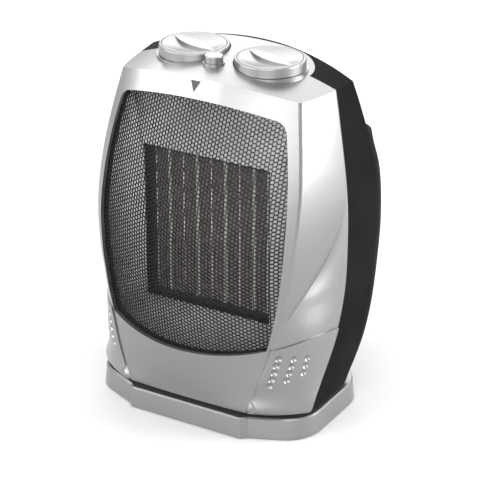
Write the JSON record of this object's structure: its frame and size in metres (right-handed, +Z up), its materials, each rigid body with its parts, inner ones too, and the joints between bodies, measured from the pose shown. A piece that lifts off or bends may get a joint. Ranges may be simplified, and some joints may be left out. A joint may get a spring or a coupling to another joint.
{
  "type": "ceramic fan heater",
  "caption": "Portable ceramic fan heater with a bowed mesh front, knobs and a push button on top, a finger recess behind and a low swivelling base.",
  "frame": {"origin": "on the floor, on the swivel axis, at the bottom centre of the whole heater", "axes": "+Z up, -Y out of the front where the warm air leaves, +X towards the thermostat knob"},
  "size_m": [0.177, 0.1496, 0.2536],
  "materials": {
    "silver_plastic": "silver metallic lacquer on moulded plastic",
    "black_plastic": "satin black moulded plastic",
    "black_mesh": "black lacquered sheet steel",
    "bright_sheet": "bright sheet",
    "plain_aluminium": "plain",
    "element_ceramic": "matt",
    "plain_steel": "zinc plated",
    "plain_brass": "plain",
    "copper_winding": "enamelled copper wire",
    "pale_plastic": "natural moulded plastic",
    "black_rubber": "matt",
    "smoked_lens": "smoky clear",
    "lamp_glass": "clear"
  },
  "bodies": {
    "base": {"base_cover": "silver_plastic", "base_plate": "black_plastic", "rubber_feet": "black_rubber", "base_screws": "plain_steel", "cord_grommet": "black_rubber", "swivel_bush": "pale_plastic", "crank_guide": "pale_plastic"},
    "housing": {"front_shell": "silver_plastic", "control_panel": "silver_plastic", "rear_shell": "black_plastic", "rear_grille": "black_plastic", "outlet_mesh": "black_mesh", "spacer_ring": "black_plastic", "funnel": "bright_sheet", "element_frame": "black_plastic", "ceramic_tubes": "element_ceramic", "contact_plates": "plain_aluminium", "corrugated_fins": "plain_aluminium", "element_terminals": "plain_brass", "thermal_cutout": "plain_steel", "bulkhead": "black_plastic", "motor_bracket": "plain_steel", "motor_core": "plain_steel", "motor_coil": "copper_winding", "rear_bearing": "plain_steel", "function_switch": "pale_plastic", "thermostat": "pale_plastic", "oscillation_switch": "pale_plastic", "pilot_lens": "smoked_lens", "pilot_lamp": "lamp_glass", "housing_floor": "black_plastic", "retaining_washer": "plain_steel", "retainer_screws": "plain_steel", "floor_screws": "plain_steel", "housing_screws": "plain_steel", "drive_motor": "plain_steel", "terminal_block": "pale_plastic", "tilt_switch": "pale_plastic"},
    "fan": {"fan_impeller": "black_plastic", "fan_rotor": "plain_steel"},
    "function_control": {"function_knob": "silver_plastic", "function_spindle": "plain_steel"},
    "thermostat_control": {"thermostat_knob": "silver_plastic", "thermostat_spindle": "plain_steel"},
    "button": {"oscillation_button": "silver_plastic"},
    "drive_crank": {"crank": "black_plastic"}
  },
  "joints": [
    {"name": "swivel", "type": "hinge", "parent": "base", "child": "housing", "pos_m": [0, 0, 0.02], "axis": [0, 0, 1], "range_deg": [-30, 30]},
    {"name": "function_turn", "type": "hinge", "parent": "housing", "child": "function_control", "pos_m": [-0.0293, 0.0008, 0.246], "axis": [0, 0, -1], "range_deg": [0, 135]},
    {"name": "thermostat_turn", "type": "hinge", "parent": "housing", "child": "thermostat_control", "pos_m": [0.0293, 0.0008, 0.246], "axis": [0, 0, -1], "range_deg": [0, 270]},
    {"name": "button_press", "type": "slide", "parent": "housing", "child": "button", "axis": [0, 0, -1], "range_m": [0, 0.003], "stiffness_N_per_m": 300, "springref_m": -0.002},
    {"name": "fan_spin", "type": "hinge", "parent": "housing", "child": "fan", "pos_m": [0, 0.01, 0.13115], "axis": [0, 1, 0], "continuous": true},
    {"name": "crank_turn", "type": "hinge", "parent": "housing", "child": "drive_crank", "pos_m": [0, -0.027, 0.02], "axis": [0, 0, 1], "range_deg": [-98, 98]}
  ],
  "couplings": [
    {"joint": "crank_turn", "follows": "swivel", "ratio": -3.25}
  ]
}
